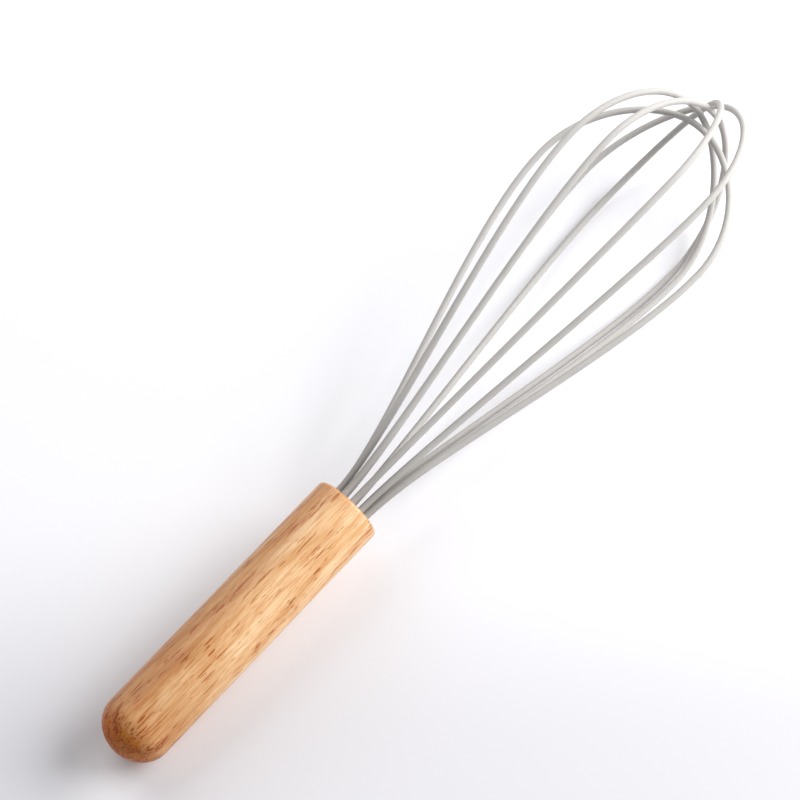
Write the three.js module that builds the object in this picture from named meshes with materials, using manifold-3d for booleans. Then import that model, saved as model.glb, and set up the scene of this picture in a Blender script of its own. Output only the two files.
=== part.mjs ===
// Balloon whisk with a turned wooden handle. Five steel wire loops with silicone coats nest in each
// other at the tip, and their ten legs sit in a plug at the mouth of the handle's bore.
// Millimetres, +Z up. The whisk lies as on a table, +X from the handle to the tip.

import * as THREE from 'three';
import { mergeVertices } from 'three/addons/utils/BufferGeometryUtils.js';
import Module from 'manifold-3d';

// Handle
const handleLength = 109;
const handleDiameter = 24.5;
const buttDepth = 10.8; // domed end, along the axis
const headEdge = 1.5; // eased edge round the flat head end
const boreChamfer = 0.5;
const drillPointAngle = 118; // degrees, whole angle

// Wire and its silicone coat
const wireDiameter = 1.2;
const coatWall = 0.4;
const tailLength = 14; // bare wire behind the plug

// Plug at the mouth of the bore, and the resin behind it
const plugLength = 12;
const plugRim = 1.0; // wall outside the holes
const holeWeb = 1.0; // wall between one hole and the next
const plugChamfer = 0.3;
const resinBelow = 5.5; // resin past the ends of the tails

// Clearances
const sleeveGap = 0.15; // coat to wire, which follow the same path
const holeGap = 0.3; // coat in its hole
const seatGap = 0.3; // plug and resin in the bore, resin round the tails and behind the plug

// Balloon
const headLength = 179.5; // head end of the handle to the middle of the innermost crown
const halfWidth = 35.1; // axis to a leg at its widest place
const crownGap = 0.75; // free space between crowns that lie on each other
const crownDepth = 42.5; // widest place of a loop to its crown
const legLead = 27; // how far a leg keeps its direction out of the plug
const bellyLead = 37; // how far it runs level before the widest place
const crownLead = 23; // and after it
const crownFlat = 16.5; // half of the flat stretch over the crown
const lean = { y: 3.2, z: -1.0 }; // the whole balloon is bent a little sideways
const crownLean = { y: 4.2, z: -1.3 };

// Loops from the innermost to the outermost. Splay is how far each leg is bent round the axis from its
// hole, in degrees, and crown is how far the middle of the crown sits off the leaning axis.
const loops = [
  { splay: [6, 0], crown: { y: 1.0, z: 0 } },
  { splay: [16, 17], crown: { y: 2.5, z: 2.5 } },
  { splay: [5, -12], crown: { y: -4.0, z: -1.0 } },
  { splay: [11, 15], crown: { y: 2.0, z: 1.5 } },
  { splay: [-2, 0], crown: { y: -1.0, z: -1.5 } },
];

// Facets
const turnedSides = 40;
const coatSides = 8;
const wireSides = 6;
const legSteps = 11;
const crownSteps = 14;

// Sizes that follow
const handleRadius = handleDiameter / 2;
const wireRadius = wireDiameter / 2;
const coatBoreRadius = wireRadius + sleeveGap;
const coatRadius = coatBoreRadius + coatWall;
const holePitch = 180 / loops.length;
const holeRadius = coatRadius + holeGap;
const ringRadius = (holeRadius + holeWeb / 2) / Math.sin(THREE.MathUtils.degToRad(holePitch / 2));
const plugRadius = ringRadius + holeRadius + plugRim;
const boreRadius = plugRadius + seatGap;
const resinFront = -plugLength - seatGap;
const tailEnd = resinFront - tailLength;
const boreEnd = tailEnd - resinBelow; // start of the drill point
const drillPointDepth = boreRadius / Math.tan(THREE.MathUtils.degToRad(drillPointAngle / 2));
const crownPitch = 2 * coatRadius + crownGap;

const wood = { color: 0xd9b88a, roughness: 0.5, metalness: 0 };
const silicone = { color: 0xcfcdc8, roughness: 0.6, metalness: 0 };
const steel = { color: 0xb9bcc0, roughness: 0.3, metalness: 1 };
const nylon = { color: 0xbdbbb6, roughness: 0.55, metalness: 0 };
const resin = { color: 0xcdb98f, roughness: 0.25, metalness: 0 };

const wasm = await Module();
wasm.setup();

// Joining and cutting
function toSolid(geometry) {
  const bare = geometry.clone();
  bare.deleteAttribute('normal');
  bare.deleteAttribute('uv');
  const merged = mergeVertices(bare, 1e-4);
  return new wasm.Manifold(new wasm.Mesh({
    numProp: 3,
    vertProperties: new Float32Array(merged.attributes.position.array),
    triVerts: new Uint32Array(merged.index.array),
  }));
}

function toGeometry(solid) {
  const mesh = solid.getMesh();
  const geometry = new THREE.BufferGeometry();
  geometry.setAttribute('position', new THREE.BufferAttribute(mesh.vertProperties, 3));
  geometry.setIndex(new THREE.BufferAttribute(mesh.triVerts, 1));
  return geometry;
}

// Sections and places round the axis
const xAxis = new THREE.Vector3(1, 0, 0);
const yAxis = new THREE.Vector3(0, 1, 0);
const zAxis = new THREE.Vector3(0, 0, 1);

function polygon(radius, sides, centre = new THREE.Vector2()) {
  return Array.from({ length: sides }, (_, i) => {
    const angle = (2 * Math.PI * i) / sides;
    return new THREE.Vector2(centre.x + radius * Math.cos(angle), centre.y + radius * Math.sin(angle));
  });
}

function around(radius, degrees, x = 0) {
  const angle = THREE.MathUtils.degToRad(degrees);
  return new THREE.Vector3(x, radius * Math.cos(angle), radius * Math.sin(angle));
}

const holeAngle = (loop, leg) => holePitch * loop + 180 * leg;

// Turned pieces: the profile is (radius, place along the axis), and the axis ends up along +X
function turned(profile) {
  const points = profile.map(([radius, x]) => new THREE.Vector2(radius, x));
  return new THREE.LatheGeometry(points, turnedSides).rotateZ(-Math.PI / 2);
}

function arcPoints(centreRadius, centreX, radius, depth, from, to, steps) {
  const points = new THREE.EllipseCurve(centreRadius, centreX, radius, depth, from, to).getPoints(steps);
  return points.map((point) => [point.x, point.y]);
}

function handle() {
  const butt = arcPoints(0, buttDepth - handleLength, handleRadius, buttDepth, -Math.PI / 2, 0, 9);
  butt[0][0] = 0;
  const edgeRadius = Math.min(headEdge, (handleRadius - boreRadius - boreChamfer) / 2);
  const edge = arcPoints(handleRadius - edgeRadius, -edgeRadius, edgeRadius, edgeRadius, 0, Math.PI / 2, 4);
  return turned([
    ...butt,
    ...edge,
    [boreRadius + boreChamfer, 0],
    [boreRadius, -boreChamfer],
    [boreRadius, boreEnd],
    [0, boreEnd - drillPointDepth],
  ]);
}

function wireHolder() {
  const section = new THREE.Shape(polygon(plugRadius, turnedSides));
  for (let i = 0; i < 2 * loops.length; i++) {
    const { y, z } = around(ringRadius, holePitch * i);
    section.holes.push(new THREE.Path(polygon(holeRadius, coatSides, new THREE.Vector2(y, z))));
  }
  const plug = new THREE.ExtrudeGeometry(section, {
    depth: plugLength - 2 * plugChamfer,
    bevelSize: plugChamfer,
    bevelThickness: plugChamfer,
    bevelOffset: -plugChamfer,
    bevelSegments: 1,
  });
  plug.translate(0, 0, plugChamfer - plugLength);
  return plug.applyMatrix4(new THREE.Matrix4().makeBasis(yAxis, zAxis, xAxis));
}

function potting() {
  const radius = boreRadius - seatGap;
  const pointGap = seatGap / Math.sin(THREE.MathUtils.degToRad(drillPointAngle / 2));
  const pointDepth = drillPointDepth * (radius / boreRadius);
  const bottom = boreEnd - drillPointDepth + pointGap;
  const profile = [[0, bottom], [radius, bottom + pointDepth], [radius, resinFront], [0, resinFront]];
  const channelRadius = wireRadius + seatGap;
  const channelLength = 2 * (tailLength + seatGap);
  const channel = new THREE.CylinderGeometry(channelRadius, channelRadius, channelLength, coatSides);
  channel.rotateZ(Math.PI / 2);
  let body = toSolid(turned(profile));
  for (let i = 0; i < 2 * loops.length; i++) {
    const place = around(ringRadius, holePitch * i, resinFront);
    body = body.subtract(toSolid(channel.clone().translate(...place)));
  }
  return toGeometry(body);
}

// A path made of curves that follow on from each other, each with its own number of steps
class SteppedPath extends THREE.Curve {
  constructor(sections) {
    super();
    this.sections = sections;
    this.steps = sections.reduce((sum, section) => sum + section.steps, 0);
  }

  getPoint(t) {
    let step = t * this.steps;
    for (const { curve, steps } of this.sections) {
      if (step <= steps) return curve.getPoint(step / steps);
      step -= steps;
    }
    return this.sections.at(-1).curve.getPoint(1);
  }

  getPointAt(t) {
    return this.getPoint(t);
  }

  getTangentAt(t) {
    return this.getTangent(t);
  }
}

// One loop: up a leg to its widest place, over the crown and down the other leg
function loopSections(index) {
  const { splay, crown } = loops[index];
  const crownX = headLength + crownPitch * index;
  const bellyX = crownX - crownDepth;
  const tip = new THREE.Vector3(crownX, crownLean.y + crown.y, crownLean.z + crown.z);
  const holes = [0, 1].map((leg) => around(ringRadius, holeAngle(index, leg)));
  const bellies = [0, 1].map((leg) => {
    const place = around(halfWidth, holeAngle(index, leg) + splay[leg], bellyX);
    return place.add(new THREE.Vector3(0, lean.y, lean.z));
  });
  const along = (point, distance) => point.clone().addScaledVector(xAxis, distance);
  const over = bellies[0].clone().sub(bellies[1]).setLength(crownFlat);
  const up = new THREE.CubicBezierCurve3(
    holes[0], along(holes[0], legLead), along(bellies[0], -bellyLead), bellies[0]);
  const upCrown = new THREE.CubicBezierCurve3(
    bellies[0], along(bellies[0], crownLead), tip.clone().add(over), tip);
  const downCrown = new THREE.CubicBezierCurve3(
    tip, tip.clone().sub(over), along(bellies[1], crownLead), bellies[1]);
  const down = new THREE.CubicBezierCurve3(
    bellies[1], along(bellies[1], -bellyLead), along(holes[1], legLead), holes[1]);
  return {
    holes,
    bellies,
    sections: [
      { curve: up, steps: legSteps },
      { curve: upCrown, steps: crownSteps },
      { curve: downCrown, steps: crownSteps },
      { curve: down, steps: legSteps },
    ],
  };
}

// The loop's path with a straight run from each hole back into the handle
function loopPath(index, endX) {
  const { holes, sections } = loopSections(index);
  const ends = holes.map((hole) => hole.clone().setX(endX));
  return new SteppedPath([
    { curve: new THREE.LineCurve3(ends[0], holes[0]), steps: 1 },
    ...sections,
    { curve: new THREE.LineCurve3(holes[1], ends[1]), steps: 1 },
  ]);
}

function swept(section, path) {
  return new THREE.ExtrudeGeometry(section, { extrudePath: path, steps: path.steps, bevelEnabled: false });
}

function coat(index) {
  const section = new THREE.Shape(polygon(coatRadius, coatSides));
  section.holes.push(new THREE.Path(polygon(coatBoreRadius, wireSides)));
  return swept(section, loopPath(index, -plugLength));
}

function wire(index) {
  return swept(new THREE.Shape(polygon(wireRadius, wireSides)), loopPath(index, tailEnd));
}

// Assembly, with the handle's head end at x = 0
const whisk = new THREE.Group();

function add(name, geometry, finish) {
  const mesh = new THREE.Mesh(geometry, new THREE.MeshStandardMaterial(finish));
  mesh.name = name;
  whisk.add(mesh);
}

add('handle', handle(), wood);
add('wire_holder', wireHolder(), nylon);
add('potting', potting(), resin);
loops.forEach((_, index) => {
  add(`loop_${index + 1}_coat`, coat(index), silicone);
  add(`loop_${index + 1}_wire`, wire(index), steel);
});

// Laid on the table: rolled until the lowest leg on each side is level with the other, then tipped up
// from the shoulder of the domed butt until the table meets the legs
function layDown() {
  const bellies = loops.flatMap((_, index) => loopSections(index).bellies);
  const lowest = (legs) => legs.reduce((low, leg) => (leg.z < low.z ? leg : low));
  const left = lowest(bellies.filter((belly) => belly.y < lean.y));
  const right = lowest(bellies.filter((belly) => belly.y >= lean.y));
  const roll = -Math.atan2(right.z - left.z, right.y - left.y);
  const shoulderX = buttDepth - handleLength;
  const slopes = loops.flatMap((_, index) => {
    const path = loopPath(index, 0);
    return path.getPoints(4 * path.steps).map((point) => {
      const drop = -(point.y * Math.sin(roll) + point.z * Math.cos(roll));
      return (drop + coatRadius - handleRadius) / (point.x - shoulderX);
    });
  });
  whisk.rotation.set(roll, -Math.atan(Math.max(...slopes)), 0, 'YXZ');
  const box = new THREE.Box3().setFromObject(whisk, true);
  const centre = box.getCenter(new THREE.Vector3());
  whisk.position.set(-centre.x, -centre.y, -box.min.z);
}

layDown();

const part = new THREE.Group();
part.add(whisk);

export default part;
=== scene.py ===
# A balloon whisk with a turned wooden handle, lying on a white table. Metres, in the frame of the packed
# model: +X runs from the handle's butt towards the tip of the balloon, and the table is at z = 0.
import math

import bpy
from mathutils import Euler, Matrix, Vector


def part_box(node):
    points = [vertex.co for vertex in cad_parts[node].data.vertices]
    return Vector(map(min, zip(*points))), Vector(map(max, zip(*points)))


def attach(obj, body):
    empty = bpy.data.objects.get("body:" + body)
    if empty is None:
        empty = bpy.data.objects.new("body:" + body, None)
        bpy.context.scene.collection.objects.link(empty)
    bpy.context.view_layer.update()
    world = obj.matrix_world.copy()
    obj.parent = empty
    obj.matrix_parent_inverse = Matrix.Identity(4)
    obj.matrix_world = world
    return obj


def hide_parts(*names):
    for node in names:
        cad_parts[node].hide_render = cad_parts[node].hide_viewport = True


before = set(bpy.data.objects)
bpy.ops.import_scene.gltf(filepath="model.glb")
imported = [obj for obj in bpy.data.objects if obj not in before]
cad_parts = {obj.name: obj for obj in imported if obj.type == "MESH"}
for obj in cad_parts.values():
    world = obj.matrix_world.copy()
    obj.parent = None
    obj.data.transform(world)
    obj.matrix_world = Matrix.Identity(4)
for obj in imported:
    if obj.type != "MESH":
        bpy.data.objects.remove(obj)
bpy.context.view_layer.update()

# Handle: one bar of light rubberwood, turned on a lathe with a domed butt, sanded and finished with a thin
# satin lacquer. The head end is cut square with an eased rim, and a blind hole is drilled into it for the
# wires. The whisk lies tipped up a little, because the balloon is wider than the handle.
mm = 0.001
handle_length = 109 * mm
handle_radius = 12.25 * mm
dome_depth = 10.8 * mm
rim_easing = 1.345 * mm
bore_radius = 9.06 * mm
bore_chamfer = 0.5 * mm
bore_depth = 31.8 * mm
drill_point_angle = math.radians(118)
handle_sides = 96
dome_steps = 24
rim_steps = 8
turned_edge = math.radians(35)  # a turned or moulded edge sharper than this keeps its line
same_place = mm / 50  # points closer than this count as one

own_turn = math.radians(-1.5)  # about the handle's own axis
tip_up = math.radians(4.799)
lying_turn = Euler((own_turn, -tip_up, 0))
handle_axis = lying_turn.to_matrix() @ Vector((1, 0, 0))
plug_length = 12 * mm  # the wire holder ends flush with the handle, so it gives the place of the head end
plug_low, plug_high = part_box("wire_holder")
head_end = (plug_low + plug_high) / 2 + handle_axis * plug_length / 2


def select_only(piece):
    """Selects one piece and makes it the active one."""
    bpy.ops.object.select_all(action="DESELECT")
    piece.select_set(True)
    bpy.context.view_layer.objects.active = piece


def lay_down(piece):
    """Puts a piece that was modelled along +X from the head end where it lies on the table."""
    select_only(piece)
    piece.rotation_euler = lying_turn
    piece.location = head_end
    bpy.ops.object.transform_apply(location=True, rotation=True, scale=True)


def arc(centre, radii, start, end, steps):
    """Profile points (along the axis, off the axis) on an ellipse, with angles from the axis in degrees."""
    angles = [math.radians(start + (end - start) * i / steps) for i in range(steps + 1)]
    return [(centre[0] + radii[0] * math.cos(a), centre[1] + radii[1] * math.sin(a)) for a in angles]


dome = arc((dome_depth - handle_length, 0), (dome_depth, handle_radius), 180, 90, dome_steps)
dome[0] = (-handle_length, 0)  # exactly on the axis, so that the spin closes there
rim = arc((-rim_easing, handle_radius - rim_easing), (rim_easing, rim_easing), 90, 0, rim_steps)
drill_point = bore_radius / math.tan(drill_point_angle / 2)
profile = [
    *dome,
    *rim,
    (0, bore_radius + bore_chamfer),
    (-bore_chamfer, bore_radius),
    (-bore_depth, bore_radius),
    (-bore_depth - drill_point, 0),
]

# The profile is drawn point by point from a plane that is merged to one point, and spun round the axis.
bpy.ops.object.select_all(action="DESELECT")
bpy.ops.mesh.primitive_plane_add(size=mm)
handle = bpy.context.object
handle.name = "turned_handle"
bpy.ops.object.mode_set(mode="EDIT")
bpy.ops.mesh.merge(type="CENTER")
bpy.ops.transform.translate(value=(*profile[0], 0))
for (x0, r0), (x1, r1) in zip(profile, profile[1:]):
    bpy.ops.mesh.extrude_vertices_move(TRANSFORM_OT_translate={"value": (x1 - x0, r1 - r0, 0)})
bpy.ops.mesh.select_all(action="SELECT")
bpy.ops.mesh.spin(steps=handle_sides, angle=2 * math.pi, center=(0, 0, 0), axis=(1, 0, 0))
bpy.ops.mesh.select_all(action="SELECT")
bpy.ops.mesh.remove_doubles(threshold=same_place)
bpy.ops.mesh.normals_make_consistent(inside=False)
bpy.ops.object.mode_set(mode="OBJECT")
lay_down(handle)
bpy.ops.object.shade_smooth_by_angle(angle=turned_edge)


def linear(srgb_hex):
    """An sRGB hex colour as the linear RGBA that a shader takes."""
    channels = [int(srgb_hex[i:i + 2], 16) / 255 for i in (1, 3, 5)]
    return [c / 12.92 if c <= 0.04045 else ((c + 0.055) / 1.055) ** 2.4 for c in channels] + [1]


def add_node(tree, kind, inputs=None, **settings):
    """A node with its settings. Each input is a value, or the output of another node that it is linked to."""
    made = tree.nodes.new(kind)
    for name, value in settings.items():
        setattr(made, name, value)
    for socket, value in (inputs or {}).items():
        if isinstance(value, bpy.types.NodeSocket):
            tree.links.new(value, made.inputs[socket])
        else:
            made.inputs[socket].default_value = value
    return made


def new_material(name):
    """A material with no nodes yet, and its node tree."""
    material = bpy.data.materials.new(name)
    material.use_nodes = True
    material.node_tree.nodes.clear()
    return material, material.node_tree


def drawn_out(length, width):
    """The scale of a pattern whose marks are that long along x and that wide across it."""
    return (1 / length, 1 / width, 1 / width)


# Lacquered rubberwood: a warm light tan whose long vessels show as short brown dashes along the bar and as
# dark dots where the dome cuts across them. The lacquer gives a soft, broad sheen, less of it on end grain.
wood, tree = new_material("lacquered_rubberwood")
coords = add_node(tree, "ShaderNodeTexCoord")
grain = add_node(tree, "ShaderNodeMapping", {
    "Vector": coords.outputs["Object"], "Location": head_end, "Rotation": lying_turn,
    "Scale": (mm, mm, mm)}, vector_type="TEXTURE").outputs[0]  # millimetres, x along the fibres
from_head = add_node(tree, "ShaderNodeVectorMath", {
    0: grain, 1: (-1, 0, 0)}, operation="DOT_PRODUCT").outputs["Value"]

# The fibres wander a little off the bar's axis, so the patterns along them are read from bent coordinates.
wander_reach = 3.2
wander = add_node(tree, "ShaderNodeMapping", {"Vector": grain, "Scale": drawn_out(45, 14)})
wander = add_node(tree, "ShaderNodeTexNoise", {"Vector": wander.outputs[0], "Scale": 1, "Detail": 1})
bent = add_node(tree, "ShaderNodeVectorMath", {
    0: wander.outputs["Color"], 1: (0, wander_reach, wander_reach), 2: grain},
    operation="MULTIPLY_ADD").outputs[0]

# Growth rings about 4 mm apart round a pith that passes under the bar at a slant. The upper face cuts them
# into long tongues, and the dome cuts them into arcs.
ring_width = 4.2
width_at_scale_1 = math.pi / 10  # of one ring of the wave texture
bar_from_pith = (0, -18, 24)
pith_slant = (0, math.radians(5), math.radians(1.5))
rings = add_node(tree, "ShaderNodeMapping", {
    "Vector": bent, "Location": bar_from_pith, "Rotation": pith_slant})
rings = add_node(tree, "ShaderNodeTexWave", {
    "Vector": rings.outputs[0], "Scale": width_at_scale_1 / ring_width, "Distortion": 1.6, "Detail": 2,
    "Detail Scale": 0.4}, wave_type="RINGS", rings_direction="X").outputs["Fac"]
late_wood = add_node(tree, "ShaderNodeMapRange", {
    "Value": rings, "From Min": 0.4, "From Max": 1, "To Max": 0.5},
    interpolation_type="SMOOTHSTEP").outputs[0]

# Sapwood on one side is paler. Heartwood takes up the other side. Towards the butt it widens, deepens and at
# last fills the bar.
heart_rise = (-0.0075, 0.12, 0)  # share gained for each millimetre along the bar and across it
heart_depth = add_node(tree, "ShaderNodeMapRange", {
    "Value": from_head, "From Max": 80, "To Min": 0.48, "To Max": 0.78}).outputs[0]
heart = add_node(tree, "ShaderNodeVectorMath", {
    0: bent, 1: heart_rise}, operation="DOT_PRODUCT").outputs["Value"]
heart = add_node(tree, "ShaderNodeMapRange", {
    "Value": heart, "To Max": heart_depth}, interpolation_type="SMOOTHSTEP").outputs[0]
butt_heart = add_node(tree, "ShaderNodeMapRange", {
    "Value": from_head, "From Min": 60, "From Max": 100, "To Max": 0.6},
    interpolation_type="SMOOTHSTEP").outputs[0]
heart = add_node(tree, "ShaderNodeMath", {0: heart, 1: butt_heart}, operation="MAXIMUM").outputs[0]

# Streaks about 2 mm wide that run a third of the bar, and fibres. Real fibres are finer than a pixel of the
# render, so they are drawn 0.6 mm wide, as coarse as they need to be to show.
streaks = add_node(tree, "ShaderNodeMapping", {"Vector": bent, "Scale": drawn_out(40, 2.2)})
streaks = add_node(tree, "ShaderNodeTexNoise", {
    "Vector": streaks.outputs[0], "Scale": 1, "Detail": 3, "Roughness": 0.55}).outputs["Fac"]
fibres = add_node(tree, "ShaderNodeMapping", {"Vector": bent, "Scale": drawn_out(7, 0.6)})
fibres = add_node(tree, "ShaderNodeTexNoise", {
    "Vector": fibres.outputs[0], "Scale": 1, "Detail": 2, "Roughness": 0.6}).outputs["Fac"]

# End grain: the domed butt cuts across the fibres, drinks more lacquer and goes a deeper, blotchy orange.
# The eased rim of the head end carries a painted shade that makes it a little darker than the side.
blotch_size = 2.5
blotch_contrast = 2.2
blotch_level = -0.1
across = add_node(tree, "ShaderNodeVectorMath", {
    0: coords.outputs["Normal"], 1: -handle_axis}, operation="DOT_PRODUCT").outputs["Value"]
# Painted shade on the eased rim of the head end, where the surface turns towards +X.
painted_rim_shade = add_node(tree, "ShaderNodeMapRange", {
    "Value": across, "From Min": -0.1, "From Max": -0.8}).outputs[0]
blotches = add_node(tree, "ShaderNodeTexNoise", {"Vector": grain, "Scale": 1 / blotch_size, "Detail": 3})
blotches = add_node(tree, "ShaderNodeMath", {
    0: blotches.outputs["Fac"], 1: blotch_contrast, 2: blotch_level}, operation="MULTIPLY_ADD").outputs[0]
end_grain = add_node(tree, "ShaderNodeMath", {0: blotches, 1: across}, operation="MULTIPLY").outputs[0]
end_grain = add_node(tree, "ShaderNodeMapRange", {
    "Value": end_grain, "From Max": 0.9}, interpolation_type="SMOOTHSTEP").outputs[0]

# Vessels: thin tubes along the fibres. Narrow runs are common, and the few wide ones crowd where a ring
# begins. Their edges are ragged, because the saw and the sandpaper open them unevenly. Real vessels are about
# 0.2 mm wide. They are drawn two to three times as wide, so that they show.
ragged_reach = 0.45
ragged_edge = 0.2
ring_pull = 0.35  # how closely the vessels keep to the rings
ragged = add_node(tree, "ShaderNodeMapping", {"Vector": bent, "Scale": drawn_out(2, 0.5)})
ragged = add_node(tree, "ShaderNodeTexNoise", {"Vector": ragged.outputs[0], "Scale": 1, "Detail": 2})
crooked = add_node(tree, "ShaderNodeVectorMath", {
    0: ragged.outputs["Color"], 1: (0, ragged_reach, ragged_reach), 2: bent},
    operation="MULTIPLY_ADD").outputs[0]
vessel_zone = add_node(tree, "ShaderNodeMapping", {"Vector": bent, "Scale": drawn_out(35, 4)})
vessel_zone = add_node(tree, "ShaderNodeTexNoise", {
    "Vector": vessel_zone.outputs[0], "Scale": 1, "Detail": 2}).outputs["Fac"]
vessel_zone = add_node(tree, "ShaderNodeMix", {0: ring_pull, 2: vessel_zone, 3: rings}).outputs[0]

# The dome cuts across the vessels and opens more of them. There they are wider and softer at the edge.
dome_opening = 0.23
near_butt = add_node(tree, "ShaderNodeMapRange", {
    "Value": from_head, "From Min": 88, "From Max": 104}, interpolation_type="SMOOTHSTEP").outputs[0]
vessel_zone = add_node(tree, "ShaderNodeMath", {
    0: near_butt, 1: dome_opening, 2: vessel_zone}, operation="MULTIPLY_ADD").outputs[0]
swell = add_node(tree, "ShaderNodeMapRange", {
    "Value": near_butt, "To Min": 1, "To Max": 1.35}).outputs[0]
soft_edge = add_node(tree, "ShaderNodeMapRange", {
    "Value": near_butt, "To Min": 0.25, "To Max": 0.33}).outputs[0]

# Each kind has the length and width in millimetres of the wood round one vessel, the draw under which that
# vessel hardly shows, the widest share of the wood that it takes up, and how dark it is.
vessel_kinds = [
    (18, 1.0, 0.0, 0.42, 0.75),
    (9, 0.85, 0.0, 0.44, 0.95),
    (6, 1.05, 0.15, 0.38, 1.0),
]
vessels = 0
for cell_length, cell_width, least_draw, widest, darkness in vessel_kinds:
    cells = add_node(tree, "ShaderNodeMapping", {
        "Vector": crooked, "Scale": drawn_out(cell_length, cell_width)})
    cells = add_node(tree, "ShaderNodeTexVoronoi", {"Vector": cells.outputs[0], "Scale": 1})
    draw = add_node(tree, "ShaderNodeSeparateColor", {"Color": cells.outputs["Color"]}).outputs["Red"]
    draw = add_node(tree, "ShaderNodeMath", {0: draw, 1: vessel_zone}, operation="MULTIPLY").outputs[0]
    size = add_node(tree, "ShaderNodeMapRange", {
        "Value": draw, "From Min": least_draw, "From Max": 0.6, "To Max": widest}).outputs[0]
    size = add_node(tree, "ShaderNodeMath", {0: size, 1: swell}, operation="MULTIPLY").outputs[0]
    inside = add_node(tree, "ShaderNodeMath", {
        0: size, 1: cells.outputs["Distance"]}, operation="SUBTRACT").outputs[0]
    inside = add_node(tree, "ShaderNodeMath", {
        0: ragged.outputs["Fac"], 1: ragged_edge, 2: inside}, operation="MULTIPLY_ADD").outputs[0]
    inside = add_node(tree, "ShaderNodeMapRange", {
        "Value": inside, "From Min": 0.1, "From Max": soft_edge, "To Max": darkness},
        interpolation_type="SMOOTHSTEP").outputs[0]
    vessels = add_node(tree, "ShaderNodeMath", {0: vessels, 1: inside}, operation="MAXIMUM").outputs[0]

# Two streak colours, which late wood, heartwood, fibres, end grain, the painted shade on the rim and vessels
# darken in turn.
streak_share = add_node(tree, "ShaderNodeMapRange", {
    "Value": streaks, "From Min": 0.35, "From Max": 0.7}).outputs[0]
fibre_share = add_node(tree, "ShaderNodeMapRange", {
    "Value": fibres, "From Min": 0.42, "From Max": 0.72, "To Max": 0.7}).outputs[0]
vessel_tint = add_node(tree, "ShaderNodeMix", {
    0: end_grain, 6: linear("#CC965A"), 7: linear("#D09C46")}, data_type="RGBA").outputs[2]
colour = add_node(tree, "ShaderNodeMix", {
    0: streak_share, 6: linear("#FFDAAD"), 7: linear("#E9B177")}, data_type="RGBA").outputs[2]
for share, tint in (
        (late_wood, linear("#E9D9C3")),
        (heart, linear("#CBA572")),
        (fibre_share, linear("#DDB98A")),
        (end_grain, linear("#FFC85C")),
        (painted_rim_shade, linear("#D6D0C8")),
        (vessels, vessel_tint)):
    colour = add_node(tree, "ShaderNodeMix", {
        0: share, 6: colour, 7: tint}, data_type="RGBA", blend_type="MULTIPLY").outputs[2]

# Fibres and vessels roughen the face a little, and the lacquer bridges them everywhere but on end grain.
fibre_hollow = 0.25  # against the hollow of a dark vessel
roughness = add_node(tree, "ShaderNodeMapRange", {
    "Value": fibres, "To Min": 0.38, "To Max": 0.54}).outputs[0]
lacquer = add_node(tree, "ShaderNodeMapRange", {"Value": end_grain, "To Min": 0.35, "To Max": 0}).outputs[0]
hollows = add_node(tree, "ShaderNodeMath", {
    0: fibres, 1: fibre_hollow, 2: vessels}, operation="MULTIPLY_ADD").outputs[0]
relief = add_node(tree, "ShaderNodeBump", {
    "Height": hollows, "Strength": 0.3, "Distance": 0.05 * mm}, invert=True).outputs[0]
shader = add_node(tree, "ShaderNodeBsdfPrincipled", {
    "Base Color": colour, "Roughness": roughness, "Normal": relief, "IOR": 1.5,
    "Specular IOR Level": 0.2, "Coat Weight": lacquer, "Coat Roughness": 0.3})
add_node(tree, "ShaderNodeOutputMaterial", {"Surface": shader.outputs[0]})
handle.data.materials.append(wood)

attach(handle, "root")
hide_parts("handle")

# Wire holder: a plug moulded from grey nylon and glued into the mouth of the bore. Ten holes in a ring
# space the legs of the loops, each hole with a broken edge so that it doesn't cut the silicone.
plug_radius = 8.76 * mm
plug_sides = 80
plug_edge = 0.3 * mm
plug_edge_steps = 3
leg_count = 10
leg_ring_radius = 6.31 * mm
leg_hole_radius = 1.45 * mm
leg_hole_sides = 28
leg_hole_edge = 0.2 * mm
leg_hole_edge_steps = 2
along_x = (0, math.pi / 2, 0)  # the turn that lays an upright cylinder along +X
plug_middle = Vector((-plug_length / 2, 0, 0))


def around_axis(x, radius, degrees):
    """A point x along the axis from the head end and radius off it, turned from +Y towards +Z."""
    angle = math.radians(degrees)
    return Vector((x, radius * math.cos(angle), radius * math.sin(angle)))


# The two rims are rounded first, while they are the only edges that lie across the axis.
leg_places = [around_axis(0, leg_ring_radius, 360 * i / leg_count) for i in range(leg_count)]
bpy.ops.object.select_all(action="DESELECT")
bpy.ops.mesh.primitive_cylinder_add(
    vertices=plug_sides, radius=plug_radius, depth=plug_length, location=plug_middle, rotation=along_x)
plug = bpy.context.object
plug.name = "wire_plug"
bpy.ops.object.transform_apply(location=True, rotation=True, scale=True)
bpy.ops.object.mode_set(mode="EDIT")
bpy.ops.mesh.select_mode(type="EDGE")
bpy.ops.mesh.select_all(action="DESELECT")
bpy.ops.object.mode_set(mode="OBJECT")
for edge in plug.data.edges:
    ends = [plug.data.vertices[v].co.x for v in edge.vertices]
    edge.select = abs(ends[0] - ends[1]) < same_place
bpy.ops.object.mode_set(mode="EDIT")
bpy.ops.mesh.bevel(offset=plug_edge, segments=plug_edge_steps, affect="EDGES")
bpy.ops.object.mode_set(mode="OBJECT")

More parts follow.
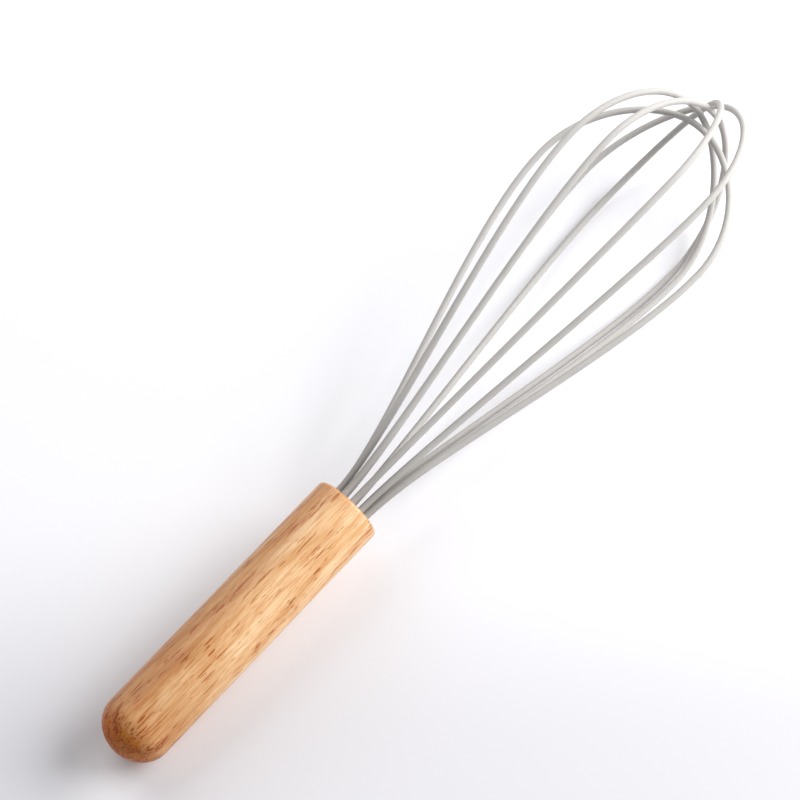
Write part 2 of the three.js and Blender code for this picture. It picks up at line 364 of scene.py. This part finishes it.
# Ten drills are joined to one tool, which cuts all the holes together.
bpy.ops.object.select_all(action="DESELECT")
for place in leg_places:
    bpy.ops.mesh.primitive_cylinder_add(
        vertices=leg_hole_sides, radius=leg_hole_radius, depth=2 * plug_length,
        location=place + plug_middle, rotation=along_x)
    if place is not leg_places[0]:
        drills.select_set(True)
        bpy.context.view_layer.objects.active = drills
        bpy.ops.object.join()
    drills = bpy.context.object
select_only(drills)
bpy.ops.object.transform_apply(location=True, rotation=True, scale=True)
select_only(plug)
bpy.ops.object.modifier_add(type="BOOLEAN")
plug.modifiers[-1].object = drills
plug.modifiers[-1].solver = "EXACT"
bpy.ops.object.modifier_apply(modifier=plug.modifiers[-1].name)
select_only(drills)
bpy.ops.object.delete()

# The edges of the holes are broken on both faces.
select_only(plug)
for edge in plug.data.edges:
    ends = [plug.data.vertices[v].co for v in edge.vertices]
    on_a_face = all(min(abs(end.x), abs(end.x + plug_length)) < same_place for end in ends)
    round_a_hole = any(
        all(abs((end.yz - place.yz).length - leg_hole_radius) < same_place for end in ends)
        for place in leg_places)
    edge.select = on_a_face and round_a_hole
bpy.ops.object.mode_set(mode="EDIT")
bpy.ops.mesh.bevel(offset=leg_hole_edge, segments=leg_hole_edge_steps, affect="EDGES")
bpy.ops.object.mode_set(mode="OBJECT")
lay_down(plug)
bpy.ops.object.shade_smooth_by_angle(angle=turned_edge)

# Moulded nylon: an even grey with a faint cloudiness and the grain of a spark-eroded mould. Real grain is
# finer than the 0.15 mm that it is drawn at here.
nylon, tree = new_material("moulded_nylon")
coords = add_node(tree, "ShaderNodeTexCoord").outputs["Object"]
cloud = add_node(tree, "ShaderNodeTexNoise", {"Vector": coords, "Scale": 1 / (3 * mm), "Detail": 2})
colour = add_node(tree, "ShaderNodeMix", {
    0: cloud.outputs["Fac"], 6: linear("#B4B2AD"), 7: linear("#C4C2BD")}, data_type="RGBA").outputs[2]
mould_grain = add_node(tree, "ShaderNodeTexNoise", {"Vector": coords, "Scale": 1 / (0.15 * mm), "Detail": 1})
mould_grain = add_node(tree, "ShaderNodeBump", {
    "Height": mould_grain.outputs["Fac"], "Strength": 0.2, "Distance": 0.02 * mm}).outputs[0]
shader = add_node(tree, "ShaderNodeBsdfPrincipled", {
    "Base Color": colour, "Normal": mould_grain, "Roughness": 0.55, "IOR": 1.53})
add_node(tree, "ShaderNodeOutputMaterial", {"Surface": shader.outputs[0]})
plug.data.materials.append(nylon)

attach(plug, "root")
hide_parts("wire_holder")

# Potting: amber epoxy poured into the bore round the bare tails of the wires before the plug goes in. It
# sets to one block that locks the tails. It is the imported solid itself, because nothing of it shows.
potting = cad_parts["potting"]
potting.data.materials.clear()

# Cast epoxy: a clouded amber with a glossy face.
resin, tree = new_material("cast_epoxy")
coords = add_node(tree, "ShaderNodeTexCoord").outputs["Object"]
cloud = add_node(tree, "ShaderNodeTexNoise", {"Vector": coords, "Scale": 1 / (5 * mm), "Detail": 3})
colour = add_node(tree, "ShaderNodeMix", {
    0: cloud.outputs["Fac"], 6: linear("#C9A873"), 7: linear("#D8C096")}, data_type="RGBA").outputs[2]
shader = add_node(tree, "ShaderNodeBsdfPrincipled", {"Base Color": colour, "Roughness": 0.2, "IOR": 1.55})
add_node(tree, "ShaderNodeOutputMaterial", {"Surface": shader.outputs[0]})
potting.data.materials.append(resin)

# Loops: five lengths of stainless spring wire, each drawn through a silicone sleeve and bent by hand into a
# long loop, so no two legs are quite alike. They are put into the plug one inside the other, cross at the
# tip, and their bare tails reach back into the potting.
wire_radius = 0.6 * mm
wire_facets = 12
coat_radius = 1.15 * mm
coat_wall = 0.4 * mm
coat_facets = 20
stretch_steps = 24  # along the curve, from each of its points to the next
cut_edge = math.radians(50)  # the square-cut ends keep their line
tail_end = -26.3 * mm
balloon_length = 179.5 * mm  # head end to the innermost crown
balloon_half_width = 35.1 * mm
crown_step = 3.05 * mm  # from one crown to the next outer one
crown_depth = 42.5 * mm  # from a crown back to the widest place
leg_lead = 27 * mm  # the leads and the flat are lengths of the curve's handles
belly_lead = 37 * mm
crown_lead = 23 * mm
crown_flat = 16.5 * mm
balloon_lean = Vector((0, 3.2, -1.0)) * mm
crown_lean = Vector((0, 4.2, -1.3)) * mm
loop_bends = [  # degrees that each leg is bent round the axis, and millimetres from the middle to the crown
    ((6, 0), (1.0, 0.0)),
    ((16, 17), (2.5, 2.5)),
    ((5, -12), (-4.0, -1.0)),
    ((11, 15), (2.0, 1.5)),
    ((-2, 0), (-1.0, -1.5)),
]


def bend_loop(name, index, back, radius, facets):
    """A round bar of that radius along one loop, from back inside the handle, over the crown and home."""
    splay, (crown_y, crown_z) = loop_bends[index]
    tip = Vector((balloon_length + crown_step * index, crown_y * mm, crown_z * mm)) + crown_lean
    belly_x = tip.x - crown_depth
    hole_turn = 360 * index / leg_count
    holes, bellies = [], []
    for leg in (0, 1):
        degrees = hole_turn + 180 * leg
        holes.append(around_axis(0, leg_ring_radius, degrees))
        bellies.append(around_axis(belly_x, balloon_half_width, degrees + splay[leg]) + balloon_lean)
    over = (bellies[0] - bellies[1]).normalized() * crown_flat
    ahead = Vector((1, 0, 0))
    third = 1 / 3  # of a straight stretch, where its curve handles lie
    tails = [Vector((back, hole.y, hole.z)) for hole in holes]
    knots = [  # point, handle before it, handle after it
        (tails[0], tails[0], tails[0].lerp(holes[0], third)),
        (holes[0], holes[0].lerp(tails[0], third), holes[0] + ahead * leg_lead),
        (bellies[0], bellies[0] - ahead * belly_lead, bellies[0] + ahead * crown_lead),
        (tip, tip + over, tip - over),
        (bellies[1], bellies[1] + ahead * crown_lead, bellies[1] - ahead * belly_lead),
        (holes[1], holes[1] + ahead * leg_lead, holes[1].lerp(tails[1], third)),
        (tails[1], tails[1].lerp(holes[1], third), tails[1]),
    ]
    bpy.ops.object.select_all(action="DESELECT")
    bpy.ops.curve.primitive_bezier_curve_add()
    bar = bpy.context.object
    bar.name = name
    spline = bar.data.splines[0]
    spline.bezier_points.add(len(knots) - len(spline.bezier_points))
    for point, (middle, before, after) in zip(spline.bezier_points, knots):
        point.handle_left_type = point.handle_right_type = "FREE"
        point.co, point.handle_left, point.handle_right = middle, before, after
    bar.data.resolution_u = stretch_steps
    bar.data.bevel_depth = radius
    bar.data.bevel_resolution = facets // 2 - 2  # Blender makes four facets and two for each step of this
    bpy.ops.object.convert(target="MESH")
    return bpy.context.object


# Silicone rubber: a light warm grey with a soft satin face. It scatters a little light below its surface, and
# handling leaves it faintly cloudy. The roots of the legs, which crowd at the handle, are drawn a shade
# darker: painted shade where the legs crowd and shadow one another.
root_length = 36 * mm
silicone, tree = new_material("extruded_silicone")
coords = add_node(tree, "ShaderNodeTexCoord").outputs["Object"]
cloud = add_node(tree, "ShaderNodeTexNoise", {"Vector": coords, "Scale": 1 / (9 * mm), "Detail": 3})
colour = add_node(tree, "ShaderNodeMix", {
    0: cloud.outputs["Fac"], 6: linear("#BEBBB7"), 7: linear("#CAC7C3")}, data_type="RGBA").outputs[2]
from_root = add_node(tree, "ShaderNodeVectorMath", {
    0: coords, 1: head_end}, operation="SUBTRACT").outputs[0]
from_root = add_node(tree, "ShaderNodeVectorMath", {
    0: from_root, 1: handle_axis}, operation="DOT_PRODUCT").outputs["Value"]
# Painted shade: the colour darkens towards the handle over the roots of the legs.
clear_of_root_shade = add_node(tree, "ShaderNodeMapRange", {
    "Value": from_root, "From Min": 2 * mm, "From Max": root_length},
    interpolation_type="SMOOTHSTEP").outputs[0]
colour = add_node(tree, "ShaderNodeMix", {
    0: clear_of_root_shade, 6: linear("#A6A29E"), 7: colour}, data_type="RGBA").outputs[2]
bloom = add_node(tree, "ShaderNodeTexNoise", {"Vector": coords, "Scale": 1 / (1.5 * mm), "Detail": 2})
roughness = add_node(tree, "ShaderNodeMapRange", {
    "Value": bloom.outputs["Fac"], "To Min": 0.34, "To Max": 0.46}).outputs[0]

# The skin is drawn 0.3 mm coarse. The real one is finer and would not show.
skin = add_node(tree, "ShaderNodeTexNoise", {"Vector": coords, "Scale": 1 / (0.3 * mm), "Detail": 1})
skin = add_node(tree, "ShaderNodeBump", {
    "Height": skin.outputs["Fac"], "Strength": 0.06, "Distance": 0.02 * mm}).outputs[0]
shader = add_node(tree, "ShaderNodeBsdfPrincipled", {
    "Base Color": colour, "Roughness": roughness, "Normal": skin, "IOR": 1.41, "Specular IOR Level": 0.2,
    "Subsurface Weight": 0.04, "Subsurface Radius": (1.0, 0.7, 0.5), "Subsurface Scale": 0.25 * mm})
add_node(tree, "ShaderNodeOutputMaterial", {"Surface": shader.outputs[0]})

# Stainless spring wire: bright drawn steel with lines from the die. Real lines are far finer than the 0.2 mm
# that they are drawn at here.
steel, tree = new_material("drawn_stainless_wire")
coords = add_node(tree, "ShaderNodeTexCoord").outputs["Object"]
die_lines = add_node(tree, "ShaderNodeMapping", {"Vector": coords, "Scale": drawn_out(6 * mm, 0.2 * mm)})
die_lines = add_node(tree, "ShaderNodeTexNoise", {"Vector": die_lines.outputs[0], "Scale": 1, "Detail": 1})
roughness = add_node(tree, "ShaderNodeMapRange", {
    "Value": die_lines.outputs["Fac"], "To Min": 0.22, "To Max": 0.38}).outputs[0]
shader = add_node(tree, "ShaderNodeBsdfPrincipled", {
    "Base Color": linear("#B9BCC0"), "Roughness": roughness, "Metallic": 1.0})
add_node(tree, "ShaderNodeOutputMaterial", {"Surface": shader.outputs[0]})

# Each coat is a tube from the back of the plug, and its wire is a solid bar with tails that reach further.
for index in range(len(loop_bends)):
    coat = bend_loop(f"silicone_coat_{index + 1}", index, -plug_length, coat_radius, coat_facets)
    bpy.ops.object.modifier_add(type="SOLIDIFY")
    coat.modifiers[-1].thickness = coat_wall
    coat.modifiers[-1].offset = -1
    coat.modifiers[-1].use_even_offset = True
    bpy.ops.object.modifier_apply(modifier=coat.modifiers[-1].name)
    lay_down(coat)
    bpy.ops.object.shade_smooth_by_angle(angle=cut_edge)
    coat.data.materials.append(silicone)
    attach(coat, "root")
    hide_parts(f"loop_{index + 1}_coat")

    wire = bend_loop(f"spring_wire_{index + 1}", index, tail_end, wire_radius, wire_facets)
    bpy.ops.object.mode_set(mode="EDIT")
    bpy.ops.mesh.select_mode(type="EDGE")
    bpy.ops.mesh.select_all(action="DESELECT")
    bpy.ops.mesh.select_non_manifold()
    bpy.ops.mesh.fill_holes(sides=0)
    bpy.ops.object.mode_set(mode="OBJECT")
    lay_down(wire)
    bpy.ops.object.shade_smooth_by_angle(angle=cut_edge)
    wire.data.materials.append(steel)
    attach(wire, "root")
    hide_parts(f"loop_{index + 1}_wire")

# Table, light and camera: the whisk lies on a matt white board in a white room, under a large soft window to
# the right and beyond the tip, with a second window to the left. It is seen from above the handle's side
# through a long lens.
board_size = 8
board_drop = 0.15 * mm  # the board lies just clear of the lowest facets
white_beyond = (0.73, 0.68, 0)  # the way in which the board goes from light grey to white
butt_shadow = (-0.16, -0.003, 0)


def shown(tree):
    """One for rays that show a surface, straight or in a reflection, and zero for rays that only light."""
    rays = add_node(tree, "ShaderNodeLightPath").outputs
    either = rays["Is Camera Ray"]
    for ray in ("Is Glossy Ray", "Is Transmission Ray"):
        either = add_node(tree, "ShaderNodeMath", {0: either, 1: rays[ray]}, operation="MAXIMUM").outputs[0]
    return either


bpy.ops.object.select_all(action="DESELECT")
bpy.ops.mesh.primitive_plane_add(size=board_size, location=(0, 0, -board_drop))
board = bpy.context.object
board.name = "white_board"

# Matt white paint: even and without gloss. Where it is shown it is lifted towards white by painted light,
# most beyond the whisk and far from it, and a little as a painted lightening of the deep shadow of the butt.
# The lift casts no light of its own. It is only seen, straight or in a reflection.
white, tree = new_material("matt_white_paint")
place = add_node(tree, "ShaderNodeTexCoord").outputs["Object"]
beyond = add_node(tree, "ShaderNodeVectorMath", {
    0: place, 1: white_beyond}, operation="DOT_PRODUCT").outputs["Value"]
beyond = add_node(tree, "ShaderNodeMapRange", {
    "Value": beyond, "From Min": -0.11, "From Max": -0.02, "To Min": 0.065, "To Max": 0.24},
    interpolation_type="SMOOTHSTEP").outputs[0]
away = add_node(tree, "ShaderNodeVectorMath", {0: place}, operation="LENGTH").outputs["Value"]
away = add_node(tree, "ShaderNodeMapRange", {
    "Value": away, "From Min": 0.2, "From Max": 0.6, "To Max": 0.85},
    interpolation_type="SMOOTHSTEP").outputs[0]
# Painted light: a small patch that lightens the shadow beside the butt.
painted_light_by_butt = add_node(tree, "ShaderNodeVectorMath", {
    0: place, 1: butt_shadow}, operation="DISTANCE").outputs["Value"]
painted_light_by_butt = add_node(tree, "ShaderNodeMapRange", {
    "Value": painted_light_by_butt, "From Max": 0.018, "To Min": 0.11, "To Max": 0},
    interpolation_type="SMOOTHSTEP").outputs[0]
lift = add_node(tree, "ShaderNodeMath", {0: beyond, 1: away}, operation="ADD").outputs[0]
lift = add_node(tree, "ShaderNodeMath", {0: lift, 1: painted_light_by_butt}, operation="ADD").outputs[0]
lift = add_node(tree, "ShaderNodeMath", {0: lift, 1: shown(tree)}, operation="MULTIPLY").outputs[0]
paint = add_node(tree, "ShaderNodeBsdfDiffuse", {"Color": linear("#E3E2E6")})
glow = add_node(tree, "ShaderNodeEmission", {"Color": linear("#FFFFFF"), "Strength": lift})
paint = add_node(tree, "ShaderNodeAddShader", {0: paint.outputs[0], 1: glow.outputs[0]})
add_node(tree, "ShaderNodeOutputMaterial", {"Surface": paint.outputs[0]})
board.data.materials.append(white)

# The room is white where it shows, and gives only a fifth of that as light.
bpy.context.scene.world = bpy.data.worlds.new("room")
bpy.context.scene.world.use_nodes = True
tree = bpy.context.scene.world.node_tree
tree.nodes.clear()
level = add_node(tree, "ShaderNodeMapRange", {"Value": shown(tree), "To Min": 0.2, "To Max": 1}).outputs[0]
room = add_node(tree, "ShaderNodeBackground", {"Color": linear("#F7F8FC"), "Strength": level})
add_node(tree, "ShaderNodeOutputWorld", {"Surface": room.outputs[0]})


def add_window(name, place, size, watts):
    """A square of white light that faces the middle of the table."""
    bpy.ops.object.light_add(type="AREA", location=place)
    window = bpy.context.object
    window.name = name
    window.data.size = size
    window.data.energy = watts
    window.rotation_euler = (-Vector(place)).to_track_quat("-Z", "Y").to_euler()


add_window("window", place=(0.80, -0.55, 0.62), size=0.9, watts=19.6)
add_window("far_window", place=(0.2, 0.9, 0.9), size=1.0, watts=7)

# The camera looks at the target from that far off, and its focal length is given in pixels of a square frame.
target = Vector((-0.319, 13.227, 15.0)) * mm
camera_distance = 981.98 * mm
azimuth = math.radians(-41.913)
elevation = math.radians(63.087)
roll = math.radians(5.545)
film_width = 36
frame_pixels = 800
focal_pixels = 2948.5

back = Vector((
    math.sin(azimuth) * math.cos(elevation), -math.cos(azimuth) * math.cos(elevation), math.sin(elevation)))
right = (-back).cross(Vector((0, 0, 1))).normalized()
down = (-back).cross(right)
rolled_right = math.cos(roll) * right + math.sin(roll) * down
rolled_up = back.cross(rolled_right)
bpy.ops.object.camera_add()
camera = bpy.context.object
camera.data.sensor_width = film_width
camera.data.lens = film_width * focal_pixels / frame_pixels
camera.data.clip_start = 0.01
pose = Matrix((rolled_right, rolled_up, back)).transposed().to_4x4()
pose.translation = target + back * camera_distance
camera.matrix_world = pose
bpy.context.scene.camera = camera
bpy.context.scene.view_settings.view_transform = "Standard"
